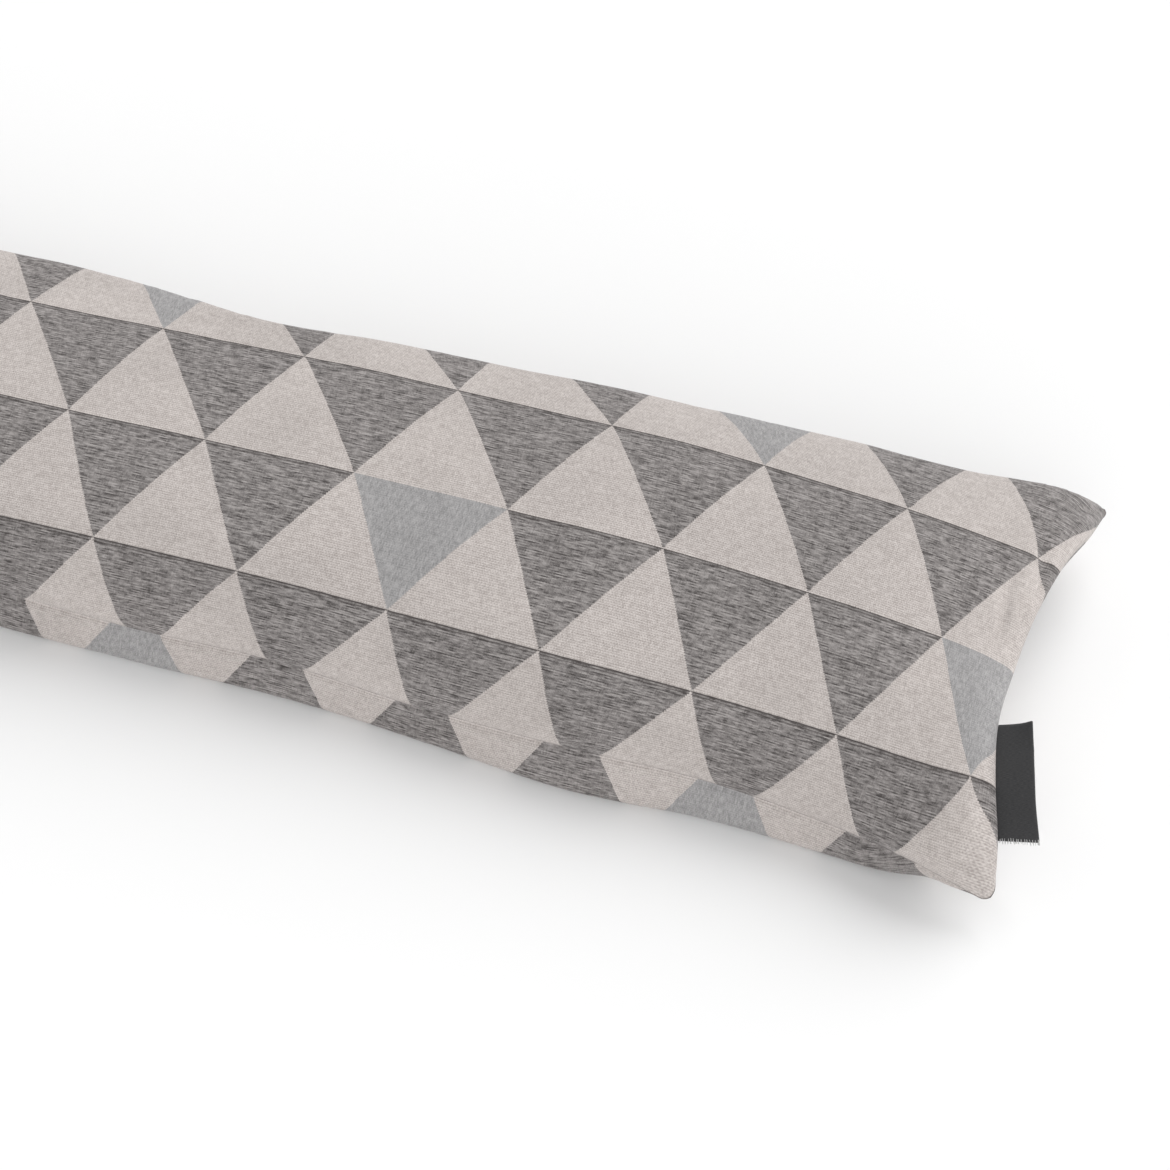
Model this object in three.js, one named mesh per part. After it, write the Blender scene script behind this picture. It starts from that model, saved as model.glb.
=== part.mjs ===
// Draught excluder: a long, softly filled cushion that lies along the foot of a door or window.
//
// Two equal panels of cloth are sewn together along all four sides and filled. The cloth doesn't
// stretch, so as the filling lifts the upper panel into a crown, the long seams draw in towards each
// other and the end seams draw in between the corners, which stay flat and stick out as small ears.
// A short folded tape is caught in one end seam.
//
// Millimetres. +X runs along the cushion towards the end with the label, +Y to the back, +Z up.
// The origin is the middle of the footprint, on the floor.

import * as THREE from 'three';

// ---- Cloth panels ----
const PANEL_LENGTH = 900; // flat, from end seam to end seam
const PANEL_WIDTH = 200; // flat, from long seam to long seam
const GIVE_ACROSS = 1.025; // how much wider a panel is when the filling pulls it tight
const GIVE_ALONG = 1.018; // and how much longer

// ---- Form of the filled cushion at mid-length ----
const CROWN_RISE = 42; // upper panel above the long seams
const BELLY_DEPTH = 42; // lower panel below the long seams, before the floor flattens it
const SEAM_HEIGHT = 20; // long seams above the floor
const CROWN_SQUARENESS = { front: 2.7, back: 3.2 }; // exponent of the arch: 2 is an ellipse
const BELLY_SQUARENESS = { front: 3.5, back: 3.5 };
const BELLY_PROMPTNESS = 0.8; // power: under 1 the belly fills out nearer to the ends than the crown

// ---- The ends ----
const END_SLOPE = THREE.MathUtils.degToRad(66); // slope at which the upper panel leaves an end seam
const END_REACH = 26; // length of cloth over which that slope dies away
const END_DRAW_IN = 17; // middle of an end seam, over what its slope alone draws in
const END_LIFT = 25; // middle of an end seam above the long seams
const END_ARCH = 10; // rise of the end seam's own arch, which draws its corners together
const CORNER_DROOP = 1; // a corner below the long seams
const CORNER_SHARPNESS = 4; // power of the across-distance that shapes the droop
const CORNER_ROUNDING = 3; // how far a corner's tip is rounded off, both ways
const ROUNDING_REACH = 6;
const ROUNDING_SHARPNESS = 12;

// How the filled cushion lies, by the distance from the nearer end: the filling's share of the full
// crown, how far the cushion has rolled towards its front, in degrees, and how far back it lies.
const LAY = [
  { fromEnd: 0, share: 1.0, roll: 1.1, back: 1 },
  { fromEnd: 60, share: 1.0, roll: 6, back: 0 },
  { fromEnd: 140, share: 1.0, roll: 6, back: -1 },
  { fromEnd: 240, share: 1.01, roll: 3, back: -2 },
  { fromEnd: 360, share: 1.0, roll: -2, back: -3 },
  { fromEnd: 450, share: 0.99, roll: -1, back: -1 },
];
const ROLL_CENTRE = 35; // height about which it rolls

// Soft creases that run in from the corners and from the end seams, as troughs in the upper panel.
// fromEnd and across place the middle of the crease, turn is its angle from the length, in degrees.
const CREASES = [
  { end: 1, fromEnd: 30, across: 62, turn: 28, length: 34, width: 6, depth: 2.4 },
  { end: 1, fromEnd: 44, across: 36, turn: 12, length: 30, width: 7, depth: 1.8 },
  { end: 1, fromEnd: 26, across: -66, turn: -34, length: 28, width: 6, depth: 1.8 },
  { end: 1, fromEnd: 40, across: -20, turn: -6, length: 26, width: 8, depth: 1.2 },
  { end: -1, fromEnd: 32, across: 64, turn: 30, length: 32, width: 6, depth: 2.2 },
  { end: -1, fromEnd: 28, across: -60, turn: -30, length: 30, width: 7, depth: 2.0 },
  { end: -1, fromEnd: 42, across: 12, turn: 5, length: 28, width: 8, depth: 1.3 },
];

const CREASE_START = 12; // height over the seam at which a crease has its full depth

// ---- Folded label ----
const LABEL_LENGTH = 45; // along the end seam
const LABEL_REACH = 16; // out of the seam, to the fold
const LABEL_PLY = 0.6; // thickness of the tape
const LABEL_GAP = 0.5; // space between the two plies
const LABEL_FROM_CORNER = 44; // middle of the label from the front corner, along the seam
const LABEL_TILT = THREE.MathUtils.degToRad(28); // upwards from the horizontal
const LABEL_WAVE = 0.7; // gentle wave of the fold
const LABEL_CLEARANCE = 0.3; // between the tape and the sewn edge

// ---- Mesh steps ----
const STATIONS_PER_HALF = 44; // from mid-length to an end seam
const STATION_CROWDING = 1.6; // stations crowd towards the ends, where the form turns
const COLUMNS = 24; // across a panel
const ARCH_SAMPLES = 96;
const LABEL_STEPS = 14;
const FOLD_STEPS = 6;

// ---- Materials ----
const clothMaterial = new THREE.MeshStandardMaterial({ color: 0xb1aca9, roughness: 0.92, metalness: 0 });
const tapeMaterial = new THREE.MeshStandardMaterial({ color: 0x37373a, roughness: 0.75, metalness: 0 });

/** Smoothly interpolates a column of LAY at a distance from the nearer end. */
function layAt(column, fromEnd) {
  const next = Math.max(1, LAY.findIndex((row) => row.fromEnd >= fromEnd));
  const low = LAY[next - 1];
  const high = LAY[next];
  const t = THREE.MathUtils.smoothstep(fromEnd, low.fromEnd, high.fromEnd);
  return THREE.MathUtils.lerp(low[column], high[column], t);
}

/** A section's point after the cushion's roll at that place. */
function rolled(point, fromEnd) {
  const roll = THREE.MathUtils.degToRad(layAt('roll', fromEnd));
  const above = point.z - ROLL_CENTRE;
  return {
    y: point.y * Math.cos(roll) - above * Math.sin(roll) + layAt('back', fromEnd),
    z: ROLL_CENTRE + point.y * Math.sin(roll) + above * Math.cos(roll),
  };
}

/** A point of the lower panel after the roll: the filling keeps the belly down on the floor. */
function settled(point, fromEnd) {
  const floored = { y: point.y, z: Math.max(point.z, 0) };
  const { y, z } = rolled(floored, fromEnd);
  const resting = THREE.MathUtils.smoothstep(SEAM_HEIGHT - floored.z, 0, SEAM_HEIGHT);
  return { y, z: Math.max(z - resting * Math.max(z - floored.z, 0), 0) };
}

/** An arch from seam to seam, each half with its own squareness, and the length along it. */
function archOf(halfWidth, rise, squareness) {
  const points = [];
  let length = 0;
  for (let k = 0; k <= ARCH_SAMPLES; k += 1) {
    const angle = Math.PI * (1 - k / ARCH_SAMPLES);
    const c = Math.cos(angle);
    const power = 2 / (c < 0 ? squareness.front : squareness.back);
    const y = halfWidth * Math.sign(c) * Math.abs(c) ** power;
    const z = rise * Math.abs(Math.sin(angle)) ** power;
    if (k > 0) {
      const last = points[k - 1];
      length += Math.hypot(y - last.y, z - last.z);
    }
    points.push({ y, z, length });
  }
  return { points, length };
}

/** The point of an arch at a share (0 to 1) of its length from the front seam. */
function pointOnArch(arch, share) {
  const wanted = share * arch.length;
  const next = Math.max(1, arch.points.findIndex((p) => p.length >= wanted - 1e-9));
  const low = arch.points[next - 1];
  const high = arch.points[next];
  const t = (wanted - low.length) / Math.max(high.length - low.length, 1e-9);
  return { y: THREE.MathUtils.lerp(low.y, high.y, t), z: THREE.MathUtils.lerp(low.z, high.z, t) };
}

/** Half the distance between the long seams where the upper panel, of fixed width, has this rise. */
function halfWidthForRise(rise) {
  let narrow = PANEL_WIDTH / 4;
  let wide = (PANEL_WIDTH * GIVE_ACROSS) / 2;
  for (let k = 0; k < 40; k += 1) {
    const middle = (narrow + wide) / 2;
    if (archOf(middle, rise, CROWN_SQUARENESS).length > PANEL_WIDTH * GIVE_ACROSS) {
      wide = middle;
    } else {
      narrow = middle;
    }
  }
  return (narrow + wide) / 2;
}

/** How full the cushion is at a distance of cloth from an end seam: 0 at the seam, 1 well inside. */
function fullness(fromEnd) {
  const steps = 60;
  const reached = (distance) => {
    let rise = 0;
    for (let k = 0; k < steps; k += 1) {
      const at = ((k + 0.5) / steps) * distance;
      rise += Math.sin(END_SLOPE * Math.exp(-at / END_REACH)) * (distance / steps);
    }
    return rise;
  };
  return reached(fromEnd) / reached(PANEL_LENGTH / 2);
}

/** Depth of the creases at a place on the upper panel. */
function creaseDepth(end, fromEnd, across) {
  let depth = 0;
  for (const crease of CREASES.filter((row) => row.end === end)) {
    const turn = THREE.MathUtils.degToRad(crease.turn);
    const a = fromEnd - crease.fromEnd;
    const b = across - crease.across;
    const lengthways = (a * Math.cos(turn) - b * Math.sin(turn)) / crease.length;
    const sideways = (a * Math.sin(turn) + b * Math.cos(turn)) / crease.width;
    depth += crease.depth * Math.exp(-(lengthways ** 2 + sideways ** 2));
  }
  return depth;
}

/** Heights and across-places of both panels at one station, a row of COLUMNS + 1 points each. */
function stationAt(end, fromEnd) {
  const full = fullness(fromEnd);
  const rise = CROWN_RISE * full * layAt('share', fromEnd);
  const endEffect = Math.exp(-fromEnd / END_REACH);
  const halfWidth = halfWidthForRise(rise + END_ARCH * endEffect);
  const crown = archOf(halfWidth, rise, CROWN_SQUARENESS);
  const belly = archOf(halfWidth, BELLY_DEPTH * full ** BELLY_PROMPTNESS, BELLY_SQUARENESS);
  const upper = [];
  const lower = [];
  for (let j = 0; j <= COLUMNS; j += 1) {
    const across = (2 * j) / COLUMNS - 1;
    const lift = END_LIFT * (1 - across ** 2) - CORNER_DROOP * Math.abs(across) ** CORNER_SHARPNESS;
    const seam = SEAM_HEIGHT + lift * endEffect;
    const over = pointOnArch(crown, j / COLUMNS);
    const under = pointOnArch(belly, j / COLUMNS);
    const inside = Math.min(1, over.z / CREASE_START);
    const crease = creaseDepth(end, fromEnd, (across * PANEL_WIDTH) / 2) * inside;
    const narrowed = CORNER_ROUNDING * across ** 3 * Math.exp(-fromEnd / ROUNDING_REACH);
    upper.push(rolled({ y: over.y - narrowed, z: seam + over.z - crease }, fromEnd));
    lower.push(settled({ y: under.y - narrowed, z: seam - under.z }, fromEnd));
  }
  return { fromEnd, upper, lower };
}

/**
 * All the stations of one half, from mid-length to an end seam. Each lengthways thread of the upper
 * panel keeps its length, so where it falls or swings sideways it reaches less far along X. The
 * lower panel is sewn to the upper one, keeps in step with it and draws the end seam in further.
 */
function halfOfCushion(end) {
  const stations = [];
  for (let k = 0; k <= STATIONS_PER_HALF; k += 1) {
    const left = 1 - k / STATIONS_PER_HALF;
    stations.push(stationAt(end, (PANEL_LENGTH / 2) * left ** STATION_CROWDING));
  }
  stations.forEach((station, k) => {
    station.x = station.upper.map((point, j) => {
      if (k === 0) {
        return 0;
      }
      const last = stations[k - 1];
      const thread = (last.fromEnd - station.fromEnd) * GIVE_ALONG;
      const dy = point.y - last.upper[j].y;
      const dz = point.z - last.upper[j].z;
      const forward = Math.sqrt(Math.max(thread ** 2 - dy ** 2 - dz ** 2, (0.2 * thread) ** 2));
      return last.x[j] + end * forward;
    });
  });
  for (const station of stations) {
    const drawIn = END_DRAW_IN * Math.exp(-station.fromEnd / END_REACH);
    const rounding = CORNER_ROUNDING * Math.exp(-station.fromEnd / ROUNDING_REACH);
    station.x = station.x.map((x, j) => {
      const across = (2 * j) / COLUMNS - 1;
      return x - end * (drawIn * (1 - across ** 2) + rounding * across ** ROUNDING_SHARPNESS);
    });
  }
  return stations;
}

/** The closed body of the cushion from rows of stations, with the panels sharing the seams' points. */
function cushionGeometry(stations) {
  const lastStation = stations.length - 1;
  const positions = [];
  const addPoint = (x, point) => {
    positions.push(x, point.y, point.z);
    return positions.length / 3 - 1;
  };
  const upper = stations.map((row) => row.upper.map((point, j) => addPoint(row.x[j], point)));
  const lower = stations.map((row, i) =>
    row.lower.map((point, j) => {
      const sewn = i === 0 || i === lastStation || j === 0 || j === COLUMNS;
      return sewn ? upper[i][j] : addPoint(row.x[j], point);
    }),
  );

  const indices = [];
  const addQuad = (grid, i, j, facesUp) => {
    const [a, b, c, d] = [grid[i][j], grid[i + 1][j], grid[i + 1][j + 1], grid[i][j + 1]];
    // The diagonal points at the nearest corner, so that no triangle lies wholly in the seams.
    const towardsCorner = i < lastStation / 2 === j < COLUMNS / 2;
    const faces = towardsCorner ? [a, b, c, a, c, d] : [b, c, d, b, d, a];
    indices.push(...(facesUp ? faces : faces.reverse()));
  };
  for (let i = 0; i < lastStation; i += 1) {
    for (let j = 0; j < COLUMNS; j += 1) {
      addQuad(upper, i, j, true);
      addQuad(lower, i, j, false);
    }
  }

  const geometry = new THREE.BufferGeometry();
  geometry.setAttribute('position', new THREE.Float32BufferAttribute(positions, 3));
  geometry.setIndex(indices);
  geometry.computeVertexNormals();
  return geometry;
}

/** The end seam as a curve from the front corner to the back one. */
function endSeamCurve(stations) {
  const station = stations[stations.length - 1];
  const points = station.upper.map((point, j) => new THREE.Vector3(station.x[j], point.y, point.z));
  return new THREE.CatmullRomCurve3(points);
}

/** Outline of the folded tape across the seam: out along the lower ply, round the fold and back. */
function foldedTapeOutline() {
  const inner = LABEL_GAP / 2;
  const outer = inner + LABEL_PLY;
  const foldCentre = LABEL_REACH - outer;
  const arc = (radius, turn) => {
    const points = [];
    for (let k = 0; k <= FOLD_STEPS; k += 1) {
      const angle = turn * Math.PI * (k / FOLD_STEPS - 0.5);
      points.push(new THREE.Vector2(foldCentre + radius * Math.cos(angle), radius * Math.sin(angle)));
    }
    return points;
  };
  return [
    new THREE.Vector2(0, -outer),
    ...arc(outer, 1),
    new THREE.Vector2(0, outer),
    new THREE.Vector2(0, inner),
    ...arc(inner, -1),
    new THREE.Vector2(0, -inner),
  ];
}

/** A closed body through like rings of points, with its first and last ring capped. */
function loftGeometry(rings, ringOutline) {
  const count = rings[0].length;
  const positions = rings.flat().flatMap((p) => [p.x, p.y, p.z]);
  const indices = [];
  for (let i = 0; i < rings.length - 1; i += 1) {
    for (let k = 0; k < count; k += 1) {
      const next = (k + 1) % count;
      const [a, b, c, d] = [i * count + k, (i + 1) * count + k, (i + 1) * count + next, i * count + next];
      indices.push(a, b, c, a, c, d);
    }
  }
  const lastRing = (rings.length - 1) * count;
  for (const [a, b, c] of THREE.ShapeUtils.triangulateShape(ringOutline, [])) {
    indices.push(a, b, c);
    indices.push(lastRing + c, lastRing + b, lastRing + a);
  }
  const geometry = new THREE.BufferGeometry();
  geometry.setAttribute('position', new THREE.Float32BufferAttribute(positions, 3));
  geometry.setIndex(indices);
  geometry.computeVertexNormals();
  return geometry;
}

/** The label: the folded tape's outline carried along its stretch of the end seam. */
function labelGeometry(seam) {
  const seamLength = seam.getLength();
  const outwards = new THREE.Vector3(Math.cos(LABEL_TILT), 0, Math.sin(LABEL_TILT));
  const upwards = new THREE.Vector3(-Math.sin(LABEL_TILT), 0, Math.cos(LABEL_TILT));
  const outline = foldedTapeOutline();
  const rings = [];
  for (let k = 0; k <= LABEL_STEPS; k += 1) {
    const share = k / LABEL_STEPS;
    const along = LABEL_FROM_CORNER + (share - 0.5) * LABEL_LENGTH;
    const root = seam.getPointAt(along / seamLength);
    root.x += LABEL_CLEARANCE;
    const ring = outline.map((point) => {
      const bend = LABEL_WAVE * Math.sin(share * Math.PI * 2) * (point.x / LABEL_REACH) ** 2;
      return root.clone().addScaledVector(outwards, point.x).addScaledVector(upwards, point.y + bend);
    });
    rings.push(ring);
  }
  return loftGeometry(rings, outline);
}

// ---- Assembly ----
const leftHalf = halfOfCushion(-1);
const rightHalf = halfOfCushion(1);
const stations = [...leftHalf.slice(1).reverse(), ...rightHalf];

const cushion = new THREE.Mesh(cushionGeometry(stations), clothMaterial);
cushion.name = 'cushion';

const label = new THREE.Mesh(labelGeometry(endSeamCurve(stations)), tapeMaterial);
label.name = 'label';

const draughtExcluder = new THREE.Group();
draughtExcluder.add(cushion, label);

// The label reaches past the corners, so the whole is moved to keep its footprint on the origin.
const footprint = new THREE.Box3().setFromObject(draughtExcluder);
draughtExcluder.position.x = -(footprint.min.x + footprint.max.x) / 2;
draughtExcluder.updateMatrixWorld(true);

export default draughtExcluder;
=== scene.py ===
"""Draught excluder: a long loose cushion of jacquard cloth, and the folded tape in its end seam."""

import math

import bpy
import numpy as np
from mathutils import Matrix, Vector


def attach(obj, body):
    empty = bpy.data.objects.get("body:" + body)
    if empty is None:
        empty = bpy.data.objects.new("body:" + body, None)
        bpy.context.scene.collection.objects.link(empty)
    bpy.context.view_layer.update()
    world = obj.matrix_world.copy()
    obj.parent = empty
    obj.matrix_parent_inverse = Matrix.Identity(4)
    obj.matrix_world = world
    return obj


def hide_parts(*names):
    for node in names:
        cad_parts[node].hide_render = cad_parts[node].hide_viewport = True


# ------------ the casing, in metres
PANEL_LENGTH = 0.90  # the flat finished size of each of the two panels
PANEL_WIDTH = 0.20
COARSE_CELL = 0.010  # the cloth is first relaxed on coarse cells, then on fine ones
FINE_CELL = 0.005
COARSE_STEPS = 700
FINE_STEPS = 160
QUICK_STEPS = 120
EASE_IN = 80  # the filling comes in over so many steps

LOFT = 0.074  # the thickness at which the loose filling no longer pushes
LOFT_POWER = 8
HEAD = 6.0  # the filling presses harder low down, as it is heavy and loose
HEAD_HEIGHT = 0.07
PUSH = 2.2e-5  # how far a step of full pressure moves the cloth
FILL_WEIGHT = 0.35  # the weight of the filling on the lower panel, as a share of the pressure
CLOTH_WEIGHT = 0.5
LEAST_PRESSURE = -0.6  # where the casing stands open further than the loft
FLOOR_DRAG = 0.5  # the share of its sideways speed that cloth on the floor keeps
THREAD_HOLD = (1.0, 0.9)  # how firmly threads keep from stretching and from bunching
BIAS_HOLD = (0.25, 0.15)
STIFFNESS = 0.005
DAMPING = 0.93
SWEEPS = 4
HALF_GAP = 0.004  # the panels start a little apart, just above the floor
START_HEIGHT = 0.03
START_BLUNTNESS = 10  # they part quickly behind the end seams
TINY = 1e-9

EDGES = (np.s_[0, :], np.s_[-1, :], np.s_[:, 0], np.s_[:, -1])  # the four seams of a panel


def flat_lines(cell):
    """The places of the cloth's lines along and across a flat panel."""
    along = np.linspace(-PANEL_LENGTH / 2, PANEL_LENGTH / 2, round(PANEL_LENGTH / cell) + 1)
    across = np.linspace(-PANEL_WIDTH / 2, PANEL_WIDTH / 2, round(PANEL_WIDTH / cell) + 1)
    return along, across


def flat_panels(along, across):
    """Two flat panels, the upper one first, that touch only along their edges."""
    x, y = np.meshgrid(along, across, indexing="ij")
    apart = np.clip(1 - np.abs(2 * x / PANEL_LENGTH) ** START_BLUNTNESS, 0, 1) ** 0.5
    apart = apart * np.clip(1 - np.abs(2 * y / PANEL_WIDTH) ** 2, 0, 1) ** 0.5
    upper = np.stack([x, y, START_HEIGHT + HALF_GAP * apart], -1)
    lower = np.stack([x, y, START_HEIGHT - HALF_GAP * apart], -1)
    return np.stack([upper, lower])


def pull_together(panels, first, second, rest, stretch, squeeze):
    """Moves the ends of a set of threads to their own length, so cloth neither grows nor shrinks."""
    span = panels[second] - panels[first]
    length = np.sqrt((span * span).sum(-1))
    error = (length - rest) / np.maximum(length, TINY)
    share = 0.5 * np.where(error > 0, stretch, squeeze) * error
    panels[first] += span * share[..., None]
    panels[second] -= span * share[..., None]


def hold_threads(panels, dx, dy):
    """Keeps the threads' lengths along, across and on the bias, which gives more."""
    columns, rows = panels.shape[1:3]
    bias = math.hypot(dx, dy)
    for odd in (0, 1):
        near, far = slice(odd, columns - 1, 2), slice(odd + 1, columns, 2)
        pull_together(panels, np.s_[:, near], np.s_[:, far], dx, *THREAD_HOLD)
    for odd in (0, 1):
        near, far = slice(odd, rows - 1, 2), slice(odd + 1, rows, 2)
        pull_together(panels, np.s_[:, :, near], np.s_[:, :, far], dy, *THREAD_HOLD)
    lower, higher = slice(None, -1), slice(1, None)
    for start, stop in ((lower, higher), (higher, lower)):
        for odd in (0, 1):
            near, far = slice(odd, columns - 1, 2), slice(odd + 1, columns, 2)
            pull_together(panels, np.s_[:, near, start], np.s_[:, far, stop], bias, *BIAS_HOLD)


def sew(panels):
    """The four seams: each edge of the upper panel is joined to that of the lower one."""
    for edge in EDGES:
        joined = (panels[(0, *edge)] + panels[(1, *edge)]) / 2
        panels[(0, *edge)] = joined
        panels[(1, *edge)] = joined


def relax(panels, steps, ease_in):
    """Fills the casing and lets it settle on the floor."""
    dx = PANEL_LENGTH / (panels.shape[1] - 1)
    dy = PANEL_WIDTH / (panels.shape[2] - 1)
    speed = np.zeros_like(panels)
    for step in range(steps):
        out = np.cross(np.gradient(panels, axis=1), np.gradient(panels, axis=2)) / (dx * dy)
        out[1] *= -1
        thick = np.linalg.norm(panels[0] - panels[1], axis=-1)
        pressure = np.clip(1 - (thick / LOFT) ** LOFT_POWER, LEAST_PRESSURE, 1)
        deep = 1 + HEAD * np.clip(1 - panels[..., 2] / HEAD_HEIGHT, -1, 1)
        ramp = min(1, (step + 1) / ease_in) * PUSH
        force = out * (pressure[None] * deep)[..., None] * ramp
        force[1, ..., 2] -= FILL_WEIGHT * np.clip(thick / LOFT, 0, 1) * ramp
        force[0, ..., 2] -= CLOTH_WEIGHT * ramp
        bend = np.zeros_like(panels)
        inner = panels[:, 1:-1, 1:-1]
        bend[:, 1:-1, 1:-1] = (
            panels[:, :-2, 1:-1] + panels[:, 2:, 1:-1] + panels[:, 1:-1, :-2] + panels[:, 1:-1, 2:]
        ) - 4 * inner
        before = panels.copy()
        speed *= DAMPING
        panels += speed + force + STIFFNESS * bend
        for _ in range(SWEEPS):
            hold_threads(panels, dx, dy)
            sew(panels)
            resting = panels[..., 2] < 0
            panels[..., 2][resting] = 0
        speed = panels - before
        speed[..., :2][resting] *= FLOOR_DRAG
    return panels


def between(values, old, new, axis):
    """A smooth curve through values, which stand at the even places old, read at the places new."""
    values = np.moveaxis(values, axis, 0)
    padded = np.concatenate(
        [2 * values[:1] - values[1:2], values, 2 * values[-1:] - values[-2:-1]]
    )
    place = (np.asarray(new) - old[0]) / (old[1] - old[0])
    cell = np.clip(np.floor(place).astype(int), 0, len(old) - 2)
    t = (place - cell).reshape((-1,) + (1,) * (values.ndim - 1))
    a, b, c, d = (padded[cell + k] for k in range(4))
    curve = b + 0.5 * t * (c - a + t * (2 * a - 5 * b + 4 * c - d + t * (3 * (b - c) + d - a)))
    return np.moveaxis(curve, 0, axis)


def filled_casing(quick=False):
    """The relaxed casing and the places of its lines on the flat cloth."""
    along, across = flat_lines(COARSE_CELL)
    steps = QUICK_STEPS if quick else COARSE_STEPS
    panels = relax(flat_panels(along, across), steps, EASE_IN)
    if quick:
        return panels, along, across
    fine_along, fine_across = flat_lines(FINE_CELL)
    panels = between(panels, along, fine_along, 1)
    panels = between(panels, across, fine_across, 2)
    return relax(panels, FINE_STEPS, 1), fine_along, fine_across


def table_at(places, values, where):
    """A smooth curve through a short table, level beyond its ends."""
    places, values = np.asarray(places, float), np.asarray(values, float)
    slope = np.gradient(values, places)
    where = np.clip(where, places[0], places[-1])
    cell = np.clip(np.searchsorted(places, where, side="right") - 1, 0, len(places) - 2)
    wide = places[cell + 1] - places[cell]
    t = (where - places[cell]) / wide
    rise = values[cell + 1] - values[cell]
    start, stop = slope[cell] * wide, slope[cell + 1] * wide
    second = 3 * rise - 2 * start - stop
    third = start + stop - 2 * rise
    return values[cell] + t * (start + t * (second + t * third))


# ------------ how it was laid down
# By the distance from the nearer end, fitted to points read from the photo and rounded.
LAY_FROM_END = (0.0, 0.06, 0.14, 0.24, 0.36, 0.45)
LAY_HEIGHT = (0.0, 0.0, 0.0, 0.01, 0.0, -0.01)  # share of the height
LAY_ROLL = (0.02, 0.12, 0.14, 0.07, -0.02, 0.0)  # radians
LAY_SIDE = (0.001, 0.0, -0.0015, 0.0, -0.0005, 0.0005)  # towards the back
LAY_SLIP = (-0.0015, 0.003, 0.008, 0.005, 0.001, -0.0025)  # round the filling
END_FADE = 0.04
END_LIFT = 0.025  # the middle of an end seam over the long seams
END_PULLED_IN = 0.008  # and inwards of the corners

# How each end seam lies besides: from the front corner, higher by, further out by.
END_SEAM_FROM_FRONT = (0.0, 0.02, 0.04, 0.066, 0.092, 0.144, 0.172, 0.200)
END_SEAM_HIGHER = (0.0005, 0.003, 0.0047, 0.0018, 0.0, 0.0064, 0.004, 0.0)
END_SEAM_OUT = (0.001, 0.0035, 0.0013, -0.0014, -0.0003, 0.0036, 0.0045, -0.0032)
END_SEAM_FADE = 0.030
UNDERSIDE_TUCK = 0.005  # the lower panel stays behind the end seam
UNDERSIDE_TUCK_AT = 0.012
GROOVE_DEPTH = 0.0045  # the front seam is drawn in
GROOVE_WIDTH = 0.010
ROLL_CENTRE = 0.035  # above the floor
SHORTEST = 1e-12


def surface_normals(panels):
    """Outward directions of both panels, the same for both along their seams."""
    out = np.cross(np.gradient(panels, axis=1), np.gradient(panels, axis=2))
    out[1] *= -1
    out /= np.maximum(np.linalg.norm(out, axis=-1, keepdims=True), SHORTEST)
    for edge in EDGES:
        shared = out[(0, *edge)] + out[(1, *edge)]
        shared /= np.maximum(np.linalg.norm(shared, axis=-1, keepdims=True), SHORTEST)
        out[(0, *edge)] = shared
        out[(1, *edge)] = shared
    return out


def slipped(panels, across, slip):
    """The casing turned round its filling by the slip, so that its front seam climbs."""
    from_front = across - across[0]
    around = np.concatenate([-from_front[::-1][:-1], from_front])
    ring = np.concatenate([panels[1][:, ::-1][:, :-1], panels[0]], 1)
    turn = 2 * PANEL_WIDTH
    places = np.concatenate([around - turn, around[1:], around[1:] + turn])
    long_ring = np.concatenate([ring, ring[:, 1:], ring[:, 1:]], 1)
    made = np.empty_like(panels)
    for layer, side in ((0, 1), (1, -1)):
        for i, moved in enumerate(slip):
            wanted = side * from_front + moved
            for axis in range(3):
                made[layer, i, :, axis] = np.interp(wanted, places, long_ring[i, :, axis])
    return made


def laid(panels, along, across):
    """The relaxed casing as it was laid down: slipped, rolled, and with its ends lifted."""
    from_end = PANEL_LENGTH / 2 - np.abs(along)
    fade = np.exp(-from_end / END_FADE)
    away = 1 - np.exp(-((from_end / END_FADE) ** 2))
    panels = slipped(panels, across, table_at(LAY_FROM_END, LAY_SLIP, from_end) * away)
    x, y, z = (panels[..., k].copy() for k in range(3))
    z = z * (1 + table_at(LAY_FROM_END, LAY_HEIGHT, from_end)[:, None])
    roll = table_at(LAY_FROM_END, LAY_ROLL, from_end)[:, None]
    above = z - ROLL_CENTRE
    y, z = (
        y * np.cos(roll) - above * np.sin(roll),
        ROLL_CENTRE + y * np.sin(roll) + above * np.cos(roll),
    )
    y += table_at(LAY_FROM_END, LAY_SIDE, from_end)[:, None]
    over = across / (PANEL_WIDTH / 2)
    middle = 1 - over**2
    outwards = np.sign(along)[:, None]
    z += fade[:, None] * END_LIFT * middle
    x -= outwards * fade[:, None] * END_PULLED_IN * middle
    near = np.exp(-((from_end / END_SEAM_FADE) ** 2))[:, None]
    from_front = across - across[0]
    z += near * table_at(END_SEAM_FROM_FRONT, END_SEAM_HIGHER, from_front)
    x += outwards * near * table_at(END_SEAM_FROM_FRONT, END_SEAM_OUT, from_front)
    tuck = from_end / UNDERSIDE_TUCK_AT
    tuck = UNDERSIDE_TUCK * (tuck * np.exp(1 - tuck))[:, None] * middle
    x[1] -= outwards * tuck
    panels = np.stack([x, y, np.maximum(z, 0)], -1)
    deep = GROOVE_DEPTH * away[:, None] * np.exp(-from_front / GROOVE_WIDTH)
    panels = panels - surface_normals(panels) * deep[None, ..., None]
    panels[..., 2] = np.maximum(panels[..., 2], 0)
    return panels


# ------------ the surface in fine
CUSHION_SHIFT = -0.0061  # the label reaches past the right end, so the box's middle is there

COLUMNS = 420
ROWS = 110
COLUMN_CROWDING = 0.75  # the lines stand closer near the seams
ROW_CROWDING = 0.6

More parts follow.
